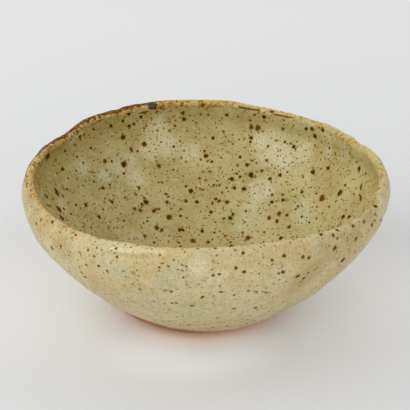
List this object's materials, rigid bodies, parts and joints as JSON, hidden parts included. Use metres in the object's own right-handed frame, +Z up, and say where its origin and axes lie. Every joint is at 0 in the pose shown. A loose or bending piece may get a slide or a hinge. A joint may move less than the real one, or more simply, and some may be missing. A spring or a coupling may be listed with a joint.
{
  "type": "pottery bowl",
  "caption": "Hand-pinched stoneware bowl with a rounded lip and speckled ash glaze, standing on a low luted foot ring. Holds food or tea and rests on its foot.",
  "frame": {"origin": "centre of the foot ring's resting face, on the table", "axes": "+Z up out of the bowl, +X to the right and -Y towards the viewer as the picture shows it"},
  "size_m": [0.1787, 0.1763, 0.0734],
  "materials": {
    "stoneware": "bare fired clay, matt orange-brown",
    "slip": "bare fired slip, matt",
    "outer_glaze": "satin warm cream ash glaze with iron speckles",
    "lip_glaze": "thin satin glaze broken to amber and iron brown",
    "inner_glaze": "satin olive ash glaze with iron speckles"
  },
  "bodies": {
    "root": {"clay_bowl": "stoneware", "foot_ring": "stoneware", "luting_slip": "slip", "outer_glaze": "outer_glaze", "lip_glaze": "lip_glaze", "inner_glaze": "inner_glaze"}
  },
  "joints": []
}
